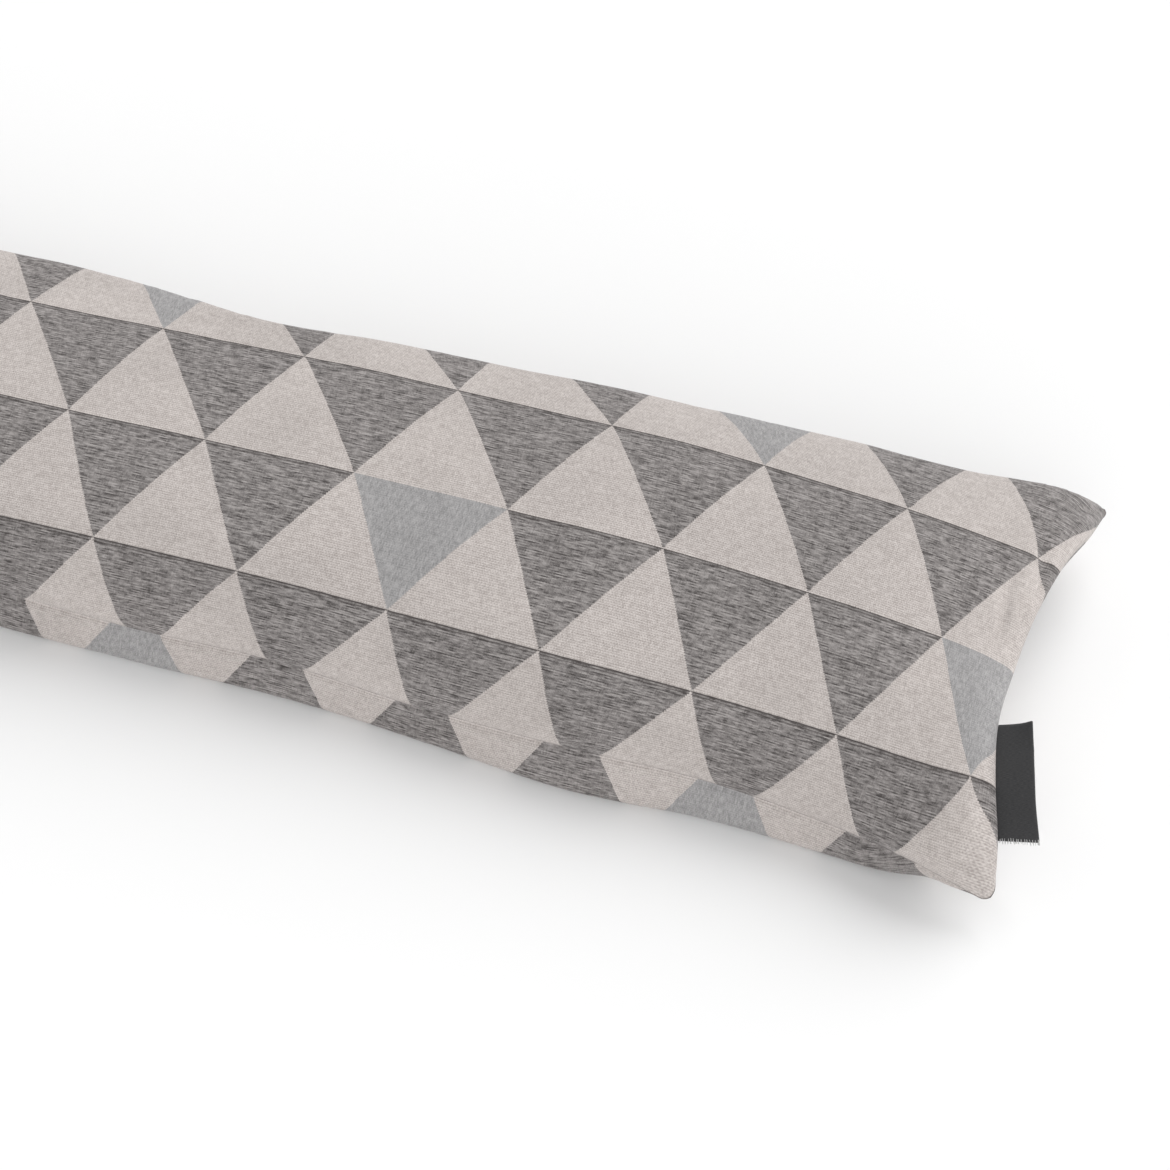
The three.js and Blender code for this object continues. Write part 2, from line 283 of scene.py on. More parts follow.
SEAM_LINE_DEPTH = 0.0009  # the stitched line itself
SEAM_LINE_WIDTH = 0.0013
LUMPS = ((0.060, 0.0009), (0.022, 0.00035))  # size and height of the filling's unevenness
LUMP_FADE = 0.02  # towards the seams
PUCKER_LENGTH = 0.010
PUCKER_STRETCH = 0.35  # they are so much narrower than long
PUCKER_HEIGHT = 0.0005
PUCKER_REACH = 0.009
PUCKER_START = 0.0015  # from the seam
SEED = 11

# Soft creases: from the labelled end, from the front seam, turn (degrees), length, width, depth.
CREASES = (
    (0.016, 0.137, 62, 0.030, 0.0035, 0.0018),
    (0.026, 0.112, 78, 0.030, 0.0032, 0.0016),
    (0.013, 0.180, 130, 0.018, 0.0030, 0.0014),
)

# The back edge turns down over a firm shoulder: by the distance from the labelled end, how far the
# shoulder lies from the front seam along the cloth, and how quickly the cloth bends towards it.
# Fitted to the photo's outline, then changed.
SHOULDER_FROM_END = (0.0, 0.02, 0.05, 0.11, 0.17, 0.23, 0.29, 0.35, 0.41)
SHOULDER_AT = (0.198, 0.187, 0.182, 0.178, 0.175, 0.170, 0.168, 0.165, 0.173)
SHOULDER_BEND = (3.0, 6.0, 10.5, 11.0, 10.5, 5.0, 5.0, 2.0, 4.0)  # radians a metre
SHOULDER_START = 0.040
SHOULDER_RADIUS = 0.007
SHOULDER_FULL_FROM = 0.030  # from the end
FOLLOW_POWER = 3  # the lower panel follows the moved back seam, mostly near it
BACK_WALL = 88  # degrees below level
WALL_LEAN = 18  # degrees by which the sides below the seams lean outwards, towards the floor
WALL_RADIUS = 0.004  # of the turn from the side to the underside
WALL_TURN_POINTS = 9
WALL_FULL_FROM = (0.010, 0.085)  # the side rises to its full shape between these, from the end

# The front seam, by the distance from the labelled end: drawn back by, raised by. Fitted as well.
FRONT_SEAM_FROM_END = (0.0, 0.03, 0.07, 0.12, 0.18, 0.24, 0.30, 0.36, 0.42)
FRONT_SEAM_BACK = (-0.0015, -0.0045, -0.001, 0.0015, -0.0005, 0.004, 0.0085, 0.009, 0.0095)
FRONT_SEAM_RAISED = (0.0, 0.007, 0.005, 0.004, 0.0025, -0.0045, -0.0055, -0.008, -0.004)
FRONT_SEAM_REACH = 0.030

CORNER_RADIUS = 0.007
BELOW_LAST = 0.001  # keeps a place within the last cell of a grid


def smoothstep(x, low, high):
    """Rises softly from 0 at low to 1 at high."""
    t = np.clip((x - low) / (high - low), 0, 1)
    return t * t * (3 - 2 * t)


def with_shoulder(panels, columns, rows):
    """The upper panel's back edge turned over a firm shoulder; the lower panel follows the seam."""
    from_end = PANEL_LENGTH / 2 - np.abs(columns)
    at = table_at(SHOULDER_FROM_END, SHOULDER_AT, from_end)
    bend = table_at(SHOULDER_FROM_END, SHOULDER_BEND, from_end)
    share = smoothstep(from_end, 0, SHOULDER_FULL_FROM)
    from_front = rows + PANEL_WIDTH / 2
    y, z = panels[0, ..., 1], panels[0, ..., 2]
    angles = -np.arctan2(np.gradient(z, axis=1), np.gradient(y, axis=1))
    steps = np.hypot(np.diff(y, axis=1), np.diff(z, axis=1))
    wall = math.radians(BACK_WALL)
    made = panels.copy()
    for i in range(len(columns)):
        a = int(np.searchsorted(from_front, at[i] - SHOULDER_START))
        beyond = from_front[a:]
        lean = angles[i, a] + bend[i] * (beyond - beyond[0])
        half = SHOULDER_RADIUS * (wall - lean[-1]) / 2
        turned = smoothstep(beyond, at[i] - half, at[i] + half)
        lean = lean * (1 - turned) + wall * turned
        lean = (lean[1:] + lean[:-1]) / 2
        new_y = y[i, a] + np.cumsum(np.cos(lean) * steps[i, a:])
        new_z = z[i, a] - np.cumsum(np.sin(lean) * steps[i, a:])
        made[0, i, a + 1 :, 1] += share[i] * (new_y - y[i, a + 1 :])
        made[0, i, a + 1 :, 2] += share[i] * (new_z - z[i, a + 1 :])
    follow = (made[0, :, -1:] - panels[1, :, -1:]) * (from_front[:, None] / PANEL_WIDTH) ** FOLLOW_POWER
    made[1] += follow
    return made


def with_front_seam(panels, columns, rows):
    """Both panels drawn along with the front seam, where it was pulled back, up or down."""
    from_end = PANEL_LENGTH / 2 - np.abs(columns)
    near = np.exp(-(((rows + PANEL_WIDTH / 2) / FRONT_SEAM_REACH) ** 2))
    made = panels.copy()
    for axis, table in ((1, FRONT_SEAM_BACK), (2, FRONT_SEAM_RAISED)):
        made[..., axis] += table_at(FRONT_SEAM_FROM_END, table, from_end)[:, None] * near
    return made


def underside_path(front, back):
    """The lower panel's way from the front seam down to the floor, along it and up to the back."""
    lean = math.radians(WALL_LEAN)
    turns = np.radians(np.linspace(0, 90 + WALL_LEAN, WALL_TURN_POINTS))
    points = []
    for seam, side in ((front, -1), (back, 1)):
        drop = max(seam[1] - WALL_RADIUS * (1 + math.sin(lean)), 0.0)
        foot_y = seam[0] + side * drop * math.tan(lean)
        centre = foot_y - side * WALL_RADIUS * math.cos(lean)
        arc = [
            (centre + side * WALL_RADIUS * math.cos(lean - t), WALL_RADIUS * (1 + math.sin(lean - t)))
            for t in turns
        ]
        points.append([tuple(seam)] + arc)
    return np.array(points[0] + points[1][::-1])


def with_walls(panels, columns, rows):
    """The lower panel standing up from the floor to the seams, away from the ends."""
    from_end = PANEL_LENGTH / 2 - np.abs(columns)
    share = smoothstep(from_end, *WALL_FULL_FROM)
    along_cloth = (rows + PANEL_WIDTH / 2) / PANEL_WIDTH
    made = panels.copy()
    for i in np.nonzero(share)[0]:
        path = underside_path(panels[0, i, 0, 1:], panels[0, i, -1, 1:])
        reached = np.concatenate([[0], np.cumsum(np.hypot(*np.diff(path, axis=0).T))])
        for k in (0, 1):
            wanted = np.interp(along_cloth * reached[-1], reached, path[:, k])
            made[1, i, :, k + 1] += share[i] * (wanted - made[1, i, :, k + 1])
    return made


def crowded(length, count, crowding):
    """Places from one seam to the other, closer near both."""
    t = np.linspace(0, 1, count + 1)
    return length * (t - 0.5 - crowding * np.sin(2 * np.pi * t) / (2 * np.pi))


def smooth_noise(rng, x, y, size):
    """Soft random hills of about that size, between -1 and 1, at the points of a grid."""
    across_x = np.arange(x.min() - size, x.max() + 2 * size, size)
    across_y = np.arange(y.min() - size, y.max() + 2 * size, size)
    hills = rng.uniform(-1, 1, (len(across_x), len(across_y)))
    return between(between(hills, across_x, x, 0), across_y, y, 1)


def rounded_places(columns, rows):
    """Where on the flat cloth each point of the surface lies, with the sewn corners rounded off."""
    inner_x, inner_y = PANEL_LENGTH / 2 - CORNER_RADIUS, PANEL_WIDTH / 2 - CORNER_RADIUS
    x, y = np.meshgrid(columns, rows, indexing="ij")
    a = np.clip((np.abs(x) - inner_x) / CORNER_RADIUS, 0, 1)
    b = np.clip((np.abs(y) - inner_y) / CORNER_RADIUS, 0, 1)
    corner = (a > 0) & (b > 0)
    new_x = np.where(corner, np.sign(x) * (inner_x + CORNER_RADIUS * a * np.sqrt(1 - b**2 / 2)), x)
    new_y = np.where(corner, np.sign(y) * (inner_y + CORNER_RADIUS * b * np.sqrt(1 - a**2 / 2)), y)
    return new_x, new_y


def read_at(values, columns, rows, x, y):
    """Values of a grid, read between its lines."""
    last_column = len(columns) - 1 - BELOW_LAST
    last_row = len(rows) - 1 - BELOW_LAST
    i = np.clip(np.interp(x, columns, np.arange(len(columns))), 0, last_column)
    j = np.clip(np.interp(y, rows, np.arange(len(rows))), 0, last_row)
    i0, j0 = i.astype(int), j.astype(int)
    s, t = (i - i0)[..., None], (j - j0)[..., None]
    near = values[i0, j0] * (1 - t) + values[i0, j0 + 1] * t
    far = values[i0 + 1, j0] * (1 - t) + values[i0 + 1, j0 + 1] * t
    return near * (1 - s) + far * s


def with_round_corners(panels, columns, rows):
    """Both panels with their sewn corners rounded off, as thick there as before."""
    x, y = rounded_places(columns, rows)
    middle = read_at((panels[0] + panels[1]) / 2, columns, rows, x, y)
    half = (panels[0] - panels[1]) / 2
    return np.stack([middle + half, middle - half])


def fine_casing(panels, along, across):
    """The laid casing on fine lines, with its seams, puckers, lumps and creases."""
    columns = crowded(PANEL_LENGTH, COLUMNS, COLUMN_CROWDING)
    rows = crowded(PANEL_WIDTH, ROWS, ROW_CROWDING)
    fine = between(between(panels, along, columns, 1), across, rows, 2)
    fine = with_shoulder(fine, columns, rows)
    fine = with_front_seam(fine, columns, rows)
    fine = with_walls(fine, columns, rows)
    fine = with_round_corners(fine, columns, rows)
    rng = np.random.default_rng(SEED)
    from_end = (PANEL_LENGTH / 2 - np.abs(columns))[:, None]
    from_side = (PANEL_WIDTH / 2 - np.abs(rows))[None]
    from_seam = np.minimum(from_end, from_side)
    away = 1 - np.exp(-((from_seam / LUMP_FADE) ** 2))
    height = np.zeros(fine.shape[:3])
    for size, rise in LUMPS:
        for layer in (0, 1):
            height[layer] += rise * away * smooth_noise(rng, columns, rows, size)
    near = np.exp(-from_seam / PUCKER_REACH) * (1 - np.exp(-((from_seam / PUCKER_START) ** 2)))
    puckers = smooth_noise(rng, columns, rows * PUCKER_STRETCH, PUCKER_LENGTH)
    height += PUCKER_HEIGHT * near * puckers
    for end, seam, turn, length, width, depth in CREASES:
        dx = (PANEL_LENGTH / 2 - columns)[:, None] - end
        dy = (rows + PANEL_WIDTH / 2)[None] - seam
        c, s = math.cos(math.radians(turn)), math.sin(math.radians(turn))
        lengthwise, sideways = dx * c + dy * s, dy * c - dx * s
        height[0] -= depth * np.exp(-((lengthwise / length * 2) ** 2) - (sideways / width) ** 2)
    height -= SEAM_LINE_DEPTH * np.exp(-((from_seam / SEAM_LINE_WIDTH) ** 2))
    fine = fine + surface_normals(fine) * height[..., None]
    fine[..., 2] = np.maximum(fine[..., 2], 0)
    fine[..., 0] += CUSHION_SHIFT
    return fine, columns, rows


# ------------ the woven pattern
PERIOD = 0.060  # a triangle's side along the cushion
ROW = 0.052  # from one line of bases to the next
END_PHASE = 7.316  # periods from the pattern's start to the labelled end
UPPER_ROWS = 3  # whole rows on the upper panel
UPPER_PHASE = 0.77  # rows from the last line of bases to the front seam, upper panel
LOWER_PHASE = 0.63
LOWER_SHIFT = -0.44  # periods; the lower panel's pattern is mirrored about the front seam

# How far the cloth crept along the cushion, at the lay tables' places from the end. Each row of
# these tables stands for a line along the cushion, and between the lines they are blended.
DRIFT_ALL = (0.0025, 0.0, -0.001, 0.0004, 0.0013, -0.0045)
DRIFT_ROWS = (
    (0.0045, 0.0020, 0.0045, 0.0065, 0.0045, 0.004),  # at the front seam
    (0.0005, 0.0, -0.001, 0.0, 0.0, 0.0),  # at the first line of bases
    (0.0, -0.0005, -0.0035, -0.0015, 0.0, -0.002),
    (0.0, 0.0, 0.0, 0.003, 0.007, 0.005),
    (0.002, 0.006, 0.012, 0.019, 0.0165, 0.008),  # a row beyond the last line that shows
)
# And how far it crept towards the back, on the same lines.
DRIFT_BACK_ROWS = (
    (0.0, 0.0, 0.0, 0.0, 0.0, 0.0),
    (-0.0022, -0.0005, -0.0015, -0.0017, -0.0015, 0.0),
    (-0.0030, -0.0020, 0.0, 0.0, -0.0002, 0.0003),
    (-0.0033, -0.0036, -0.0003, 0.0020, 0.0020, -0.0010),
    (-0.0010, 0.0, 0.0, 0.0, 0.0, 0.0),
)
BEFORE_LAST = 0.0001  # keeps a place before the last of these lines

LOWER_SLANT = 0.42  # rows; the lower panel's pattern runs out of line at the labelled end
LOWER_LAG = 0.11  # periods; and lags behind there
LOWER_SLANT_FROM = (0.010, 0.060)
END_STRETCH = 0.0095  # at the labelled end seam the cloth shows so much less of the pattern
END_STRETCH_FROM = 0.020
END_STRETCH_FADES = (0.135, 0.160)  # towards the back corner


def drift(row_tables, from_end, from_seam):
    """How far the cloth has crept at places given on the flat panel."""
    lines = [0.0] + [(UPPER_PHASE + k) * ROW for k in range(len(row_tables) - 1)]
    tables = np.stack([table_at(LAY_FROM_END, row, from_end) for row in row_tables])
    place = np.clip(np.interp(from_seam, lines, range(len(lines))), 0, len(lines) - 1 - BEFORE_LAST)
    cell = place.astype(int)
    t = place - cell
    low = np.take_along_axis(tables, cell[None], 0)[0]
    high = np.take_along_axis(tables, cell[None] + 1, 0)[0]
    return low * (1 - t) + high * t


def pattern_places(columns, rows, upper):
    """The woven pattern's own coordinates, in periods and rows, at the points of a panel."""
    x, y = rounded_places(columns, rows)
    from_right = PANEL_LENGTH / 2 - x
    from_seam = y + PANEL_WIDTH / 2
    on_upper = from_seam if upper else np.zeros_like(from_seam)
    crept = drift(DRIFT_ROWS, from_right, on_upper) + table_at(LAY_FROM_END, DRIFT_ALL, from_right)
    stretch = 1 - smoothstep(from_right, 0, END_STRETCH_FROM)
    stretch *= 1 - smoothstep(from_seam, *END_STRETCH_FADES)
    crept -= END_STRETCH * stretch
    back = drift(DRIFT_BACK_ROWS, from_right, on_upper)
    u = END_PHASE - (from_right - crept) / PERIOD + (0 if upper else LOWER_SHIFT)
    n = (UPPER_ROWS + UPPER_PHASE if upper else LOWER_PHASE) - (from_seam - back) / ROW
    if not upper:
        share = 1 - smoothstep(from_right, *LOWER_SLANT_FROM)
        n -= LOWER_SLANT * share
        u -= LOWER_LAG * share
    return np.stack([u, n], -1)


def made_mesh(name, points, faces, uv_name, places, smooth=True):
    """A mesh with one UV map, whose places go round its faces corner by corner."""
    mesh = bpy.data.meshes.new(name)
    mesh.from_pydata(points, [], faces)
    layer = mesh.uv_layers.new(name=uv_name)
    layer.uv.foreach_set("vector", np.asarray(places, np.float32).ravel())
    if smooth:
        mesh.polygons.foreach_set("use_smooth", np.ones(len(mesh.polygons), bool))
    mesh.update()
    return mesh


def cover_mesh(fine, columns, rows):
    """One closed mesh of both panels, with the pattern's coordinates as its UV map."""
    nu, nv = fine.shape[1:3]
    upper = np.arange(nu * nv).reshape(nu, nv)
    lower = upper.copy()
    inner = (nu - 2) * (nv - 2)
    lower[1:-1, 1:-1] = nu * nv + np.arange(inner).reshape(nu - 2, nv - 2)
    points = np.concatenate([fine[0].reshape(-1, 3), fine[1, 1:-1, 1:-1].reshape(-1, 3)])
    faces, places = [], []
    for number, layer in ((upper, 0), (lower, 1)):
        grid = pattern_places(columns, rows, layer == 0)
        corners = (np.s_[:-1, :-1], np.s_[1:, :-1], np.s_[1:, 1:], np.s_[:-1, 1:])
        if layer == 1:
            corners = corners[::-1]
        faces.append(np.stack([number[c] for c in corners], -1).reshape(-1, 4))
        places.append(np.stack([grid[c] for c in corners], -2).reshape(-1, 2))
    faces = np.concatenate(faces).tolist()
    return made_mesh("cushion_cover", points.tolist(), faces, "Weave", np.concatenate(places))


# ------------ materials
class Nodes:
    """A short way to write a material's nodes. Each method returns a socket to feed on."""

    def __init__(self, name):
        self.material = bpy.data.materials.new(name)
        self.material.use_nodes = True
        self.tree = self.material.node_tree
        self.tree.nodes.clear()

    def add(self, kind, **settings):
        node = self.tree.nodes.new(kind)
        for key, value in settings.items():
            setattr(node, key, value)
        return node

    def feed(self, socket, value):
        if isinstance(value, bpy.types.NodeSocket):
            self.tree.links.new(value, socket)
        else:
            socket.default_value = value

    def math(self, operation, *values):
        node = self.add("ShaderNodeMath", operation=operation)
        for socket, value in zip(node.inputs, values):
            self.feed(socket, value)
        return node.outputs[0]

    def point(self, x, y, z=0.0):
        node = self.add("ShaderNodeCombineXYZ")
        for socket, value in zip(node.inputs, (x, y, z)):
            self.feed(socket, value)
        return node.outputs[0]

    def noise(self, x, y, z=0.0, detail=1.0, rough=0.5):
        node = self.add("ShaderNodeTexNoise", noise_dimensions="3D")
        self.feed(node.inputs["Vector"], self.point(x, y, z))
        node.inputs["Scale"].default_value = 1.0
        node.inputs["Detail"].default_value = detail
        node.inputs["Roughness"].default_value = rough
        return node.outputs["Fac"]

    def spread(self, value, low, high, to_low=0.0, to_high=1.0):
        node = self.add("ShaderNodeMapRange")
        for socket, number in zip(node.inputs, (value, low, high, to_low, to_high)):
            self.feed(socket, number)
        return node.outputs[0]

    def mix(self, share, first, second):
        node = self.add("ShaderNodeMix", data_type="RGBA")
        self.feed(node.inputs[0], share)
        for socket, value in ((node.inputs[6], first), (node.inputs[7], second)):
            self.feed(socket, value if isinstance(value, bpy.types.NodeSocket) else (*value, 1))
        return node.outputs[2]

    def weighed(self, weights, values):
        """The sum of the named values, each times its weight."""
        parts = [self.math("MULTIPLY", values[name], weight) for name, weight in weights.items()]
        total = parts[0]
        for part in parts[1:]:
            total = self.math("ADD", total, part)
        return total

    def uv(self, name):
        node = self.add("ShaderNodeUVMap", uv_map=name)
        split = self.add("ShaderNodeSeparateXYZ")
        self.feed(split.inputs[0], node.outputs[0])
        return split.outputs[0], split.outputs[1]

    def cloth(self, colour, roughness, height, bump, sheen):
        shader = self.add("ShaderNodeBsdfPrincipled")
        self.feed(shader.inputs["Base Color"], colour)
        self.feed(shader.inputs["Roughness"], roughness)
        shader.inputs["Specular IOR Level"].default_value = CLOTH_SPECULAR
        shader.inputs["Sheen Weight"].default_value = sheen
        shader.inputs["Sheen Roughness"].default_value = SHEEN_ROUGHNESS
        if height is not None:
            relief = self.add("ShaderNodeBump")
            relief.inputs["Strength"].default_value = 1.0
            relief.inputs["Distance"].default_value = bump
            self.feed(relief.inputs["Height"], height)
            self.feed(shader.inputs["Normal"], relief.outputs[0])
        out = self.add("ShaderNodeOutputMaterial")
        self.feed(out.inputs["Surface"], shader.outputs[0])
        return self.material


def linear(red, green, blue):
    """A colour as seen in a picture, 0 to 255, as Blender's linear colour."""
    return tuple(
        v / 12.92 if v <= 0.04045 else ((v + 0.055) / 1.055) ** 2.4
        for v in (red / 255, green / 255, blue / 255)
    )


MM = 0.001
CLOTH_SPECULAR = 0.2
SHEEN_ROUGHNESS = 0.5

# The weave, in millimetres.
STEP_ALONG = 0.50  # the pattern's edges climb in steps of the weave
STEP_ACROSS = 0.42
PICK = 0.52  # from one weft thread to the next
END = 0.56  # and from one warp thread to the next
RIB = 0.95  # the pale triangles are finely ribbed
DOT_SPACING = 1.15  # and dotted, at so many ribs' pitches
BLUE_EVERY = 4.0  # one blue-grey triangle in so many of every other row

# The uneven yarns: how long and wide their patches are, in millimetres.
STREAK_LENGTH = 4.5
STREAK_ROUGHNESS = 0.6
SLUB_SIZE = (14.0, 1.1)
GRAIN_SIZE = (0.42, 0.36)
WARP_LENGTH = 3.0
BROAD_SIZE = (40.0, 26.0)
BROAD_DETAIL = 2.0
NEXT_THREAD = 5.13  # far enough along the noise for neighbouring threads to be unlike

# Each noise is read in a plane of its own.
STREAK_PLANE = 0.0
SLUB_PLANE = 7.0
GRAIN_PLANE = 13.0
WARP_PLANE = 21.0
BROAD_PLANE = 31.0
SEAM_PLANE = 41.0

# The shares of the noises in each sort of triangle, the part of their sum that runs from dark to
# light, and how strongly the threads show on top.
GREY_SHARES = {"streak": 0.48, "slub": 0.16, "grain": 0.20, "warp": 0.16}
GREY_CONTRAST = (0.38, 0.63)
GREY_THREADS = {"thread": 0.06, "picks": 0.12}
PALE_SHARES = {"streak": 0.30, "grain": 0.40, "warp": 0.30}
PALE_CONTRAST = (0.36, 0.64)
PALE_THREADS = {"rib": 0.24, "dots": 0.22}
BLUE_SHARES = {"warp": 0.45, "grain": 0.35, "streak": 0.20}
BLUE_CONTRAST = (0.36, 0.64)
BLUE_THREADS = {"rib": 0.08, "dots": 0.12}
BROAD_TINT = (0.3, 0.7, 0.96, 1.04)  # noise from and to, tint from and to

RELIEF_SHARES = {"streak": 0.5, "grain": 0.5, "thread": 0.10}
RIB_RELIEF = 0.3
COVER_RELIEF = 0.10 * MM
COVER_ROUGHNESS = (0.3, 0.7, 0.78, 0.95)
COVER_SHEEN = 0.12

# Set against the mean colours of small patches of the photo.
BEIGE_LIGHT = linear(204, 197, 193)
BEIGE_DARK = linear(160, 152, 148)
GREY_LIGHT = linear(164, 159, 157)
GREY_DARK = linear(72, 68, 67)
BLUE_LIGHT = linear(170, 168, 168)
BLUE_DARK = linear(130, 129, 129)
LINE_DARK = linear(62, 56, 54)

# The dark picks along a line of bases, in millimetres from it, and how dark they are.
FIRST_PICK = (0.45, 0.65, 0.85, 0.0)
SECOND_PICK_AT = 1.45
SECOND_PICK = (0.14, 0.32, 1.0, 0.0)
SECOND_PICK_DARK = 0.65

# The shade in the front seam, which breaks off here and there.
SEAM_SHADE = (0.25, 0.70, 1.0, 0.0)
SEAM_SHADE_LENGTH = 4.0
SEAM_SHADE_BREAKS = (0.35, 0.60, 0.15, 0.60)


def cell_middle(g, value, per_unit):
    """The value at the middle of the weave's step in which it lies."""
    cell = g.math("FLOOR", g.math("MULTIPLY", value, per_unit))
    return g.math("DIVIDE", g.math("ADD", cell, 0.5), per_unit)


def weave_mask(g, u, n):
    """Where the jacquard shows pale triangles and blue-grey ones; grey is the rest."""
    cell_u = cell_middle(g, u, PERIOD / (STEP_ALONG * MM))
    cell_n = cell_middle(g, n, ROW / (STEP_ACROSS * MM))
    row = g.math("FLOOR", cell_n)
    down = g.math("SUBTRACT", cell_n, row)
    odd = g.math("FLOORED_MODULO", row, 2.0)
    stagger = g.math("MULTIPLY", g.math("SUBTRACT", 1.0, odd), 0.5)
    off = g.math("SUBTRACT", cell_u, stagger)
    off = g.math("SUBTRACT", off, g.math("FLOOR", g.math("ADD", off, 0.5)))
    off = g.math("ABSOLUTE", off)
    pale = g.math("LESS_THAN", off, g.math("MULTIPLY", down, 0.5))
    tip = g.math("FLOOR", g.math("ADD", cell_u, 0.5))
    turn = g.math("SUBTRACT", g.math("SUBTRACT", tip, row), 0.5)
    turn = g.math("FLOORED_MODULO", turn, BLUE_EVERY)
    blue = g.math("MULTIPLY", g.math("LESS_THAN", turn, 1.0), g.math("SUBTRACT", 1.0, odd))
    return pale, blue


def seam_shade(g, x, n):
    """The broken shade in the stitched line along the upper panel's front edge."""
    from_seam = g.math("MULTIPLY", g.math("SUBTRACT", UPPER_ROWS + UPPER_PHASE, n), ROW / MM)
    line = g.spread(from_seam, *SEAM_SHADE)
    broken = g.noise(g.math("DIVIDE", x, SEAM_SHADE_LENGTH), 0.0, SEAM_PLANE)
    return g.math("MULTIPLY", line, g.spread(broken, *SEAM_SHADE_BREAKS))


def base_lines(g, n):
    """Two fine dark picks that run along each line of bases."""
    from_line = g.math("MULTIPLY", g.math("SUBTRACT", n, g.math("FLOOR", n)), ROW / MM)
    first = g.spread(from_line, *FIRST_PICK)
    second = g.math("ABSOLUTE", g.math("SUBTRACT", from_line, SECOND_PICK_AT))
    second = g.math("MULTIPLY", g.spread(second, *SECOND_PICK), SECOND_PICK_DARK)
    return g.math("MAXIMUM", first, second)


def patches(g, x, y, size, plane, detail=1.0):
    """Noise in patches of that size, in millimetres."""
    along, across = size
    return g.noise(g.math("DIVIDE", x, along), g.math("DIVIDE", y, across), plane, detail)


def waves(g, place, pitch):
    """Evenly spaced threads, from -1 between them to 1 on them."""
    return g.math("SINE", g.math("MULTIPLY", place, 2 * math.pi / pitch))


def yarns(g, x, y):
    """The uneven yarns and the even threads of the weave, by name."""
    pick = g.math("MULTIPLY", g.math("FLOOR", g.math("DIVIDE", y, PICK)), NEXT_THREAD)
    end = g.math("MULTIPLY", g.math("FLOOR", g.math("DIVIDE", x, END)), NEXT_THREAD)
    along = g.math("DIVIDE", x, STREAK_LENGTH)
    across = g.math("DIVIDE", y, WARP_LENGTH)
    dots = g.math("MULTIPLY", waves(g, x, DOT_SPACING * RIB), waves(g, y, 2 * RIB))
    return {
        "streak": g.noise(along, pick, STREAK_PLANE, rough=STREAK_ROUGHNESS),
        "slub": patches(g, x, y, SLUB_SIZE, SLUB_PLANE),
        "grain": patches(g, x, y, GRAIN_SIZE, GRAIN_PLANE),
        "warp": g.noise(end, across, WARP_PLANE),
        "thread": waves(g, x, END),
        "rib": waves(g, y, RIB),
        "picks": waves(g, y, 2 * PICK),
        "dots": dots,
    }


def woven(g, yarn, shares, contrast, threads, dark, light):
    """The colour of one sort of triangle."""
    tone = g.spread(g.weighed(shares, yarn), *contrast)
    return g.mix(g.math("ADD", tone, g.weighed(threads, yarn)), dark, light)


def jacquard():
    """The triangle jacquard: pale ribbed, grey melange and a few blue-grey triangles."""
    g = Nodes("jacquard")
    u, n = g.uv("Weave")
    x = g.math("MULTIPLY", u, PERIOD / MM)  # millimetres along the cushion
    y = g.math("MULTIPLY", n, ROW / MM)  # and across it
    pale, blue = weave_mask(g, u, n)
    yarn = yarns(g, x, y)

    grey = woven(g, yarn, GREY_SHARES, GREY_CONTRAST, GREY_THREADS, GREY_DARK, GREY_LIGHT)
    sand = woven(g, yarn, PALE_SHARES, PALE_CONTRAST, PALE_THREADS, BEIGE_DARK, BEIGE_LIGHT)
    cool = woven(g, yarn, BLUE_SHARES, BLUE_CONTRAST, BLUE_THREADS, BLUE_DARK, BLUE_LIGHT)
    colour = g.mix(blue, grey, cool)
    line = g.math("MULTIPLY", base_lines(g, n), g.math("SUBTRACT", 1.0, blue))
    colour = g.mix(line, colour, LINE_DARK)
    colour = g.mix(pale, colour, sand)
    colour = g.mix(seam_shade(g, x, n), colour, LINE_DARK)
    broad = patches(g, x, y, BROAD_SIZE, BROAD_PLANE, BROAD_DETAIL)
    tint = g.add("ShaderNodeVectorMath", operation="SCALE")
    g.feed(tint.inputs[0], colour)
    g.feed(tint.inputs["Scale"], g.spread(broad, *BROAD_TINT))

    relief = g.weighed(RELIEF_SHARES, yarn)
    ribs = g.math("MULTIPLY", g.math("MULTIPLY", yarn["rib"], RIB_RELIEF), pale)
    relief = g.math("ADD", relief, ribs)
    roughness = g.spread(yarn["grain"], *COVER_ROUGHNESS)
    return g.cloth(tint.outputs[0], roughness, relief, COVER_RELIEF, COVER_SHEEN)


# The label's tape, in millimetres: its long and fine unevenness, and its ribs.
TAPE_LONG_SIZE = (0.16, 1.4)
TAPE_LONG_PLANE = 0.0
TAPE_FINE_SIZE = (0.2, 0.2)
TAPE_FINE_PLANE = 5.0
TAPE_RIB = 0.34
TAPE_SHARES = {"long": 0.5, "fine": 0.3, "rib": 0.2}
TAPE_CONTRAST = (0.3, 0.7)
TAPE_RIB_RELIEF = 0.4
TAPE_RELIEF = 0.05 * MM
TAPE_ROUGHNESS = (0.3, 0.7, 0.5, 0.7)
TAPE_SHEEN = 0.1
TAPE_DARK = linear(44, 44, 45)
TAPE_LIGHT = linear(74, 74, 75)

THREAD_GRAIN = 0.3 * MM
THREAD_DARK = linear(140, 140, 140)
THREAD_LIGHT = linear(214, 214, 212)
THREAD_ROUGHNESS = 0.8
THREAD_SHEEN = 0.2


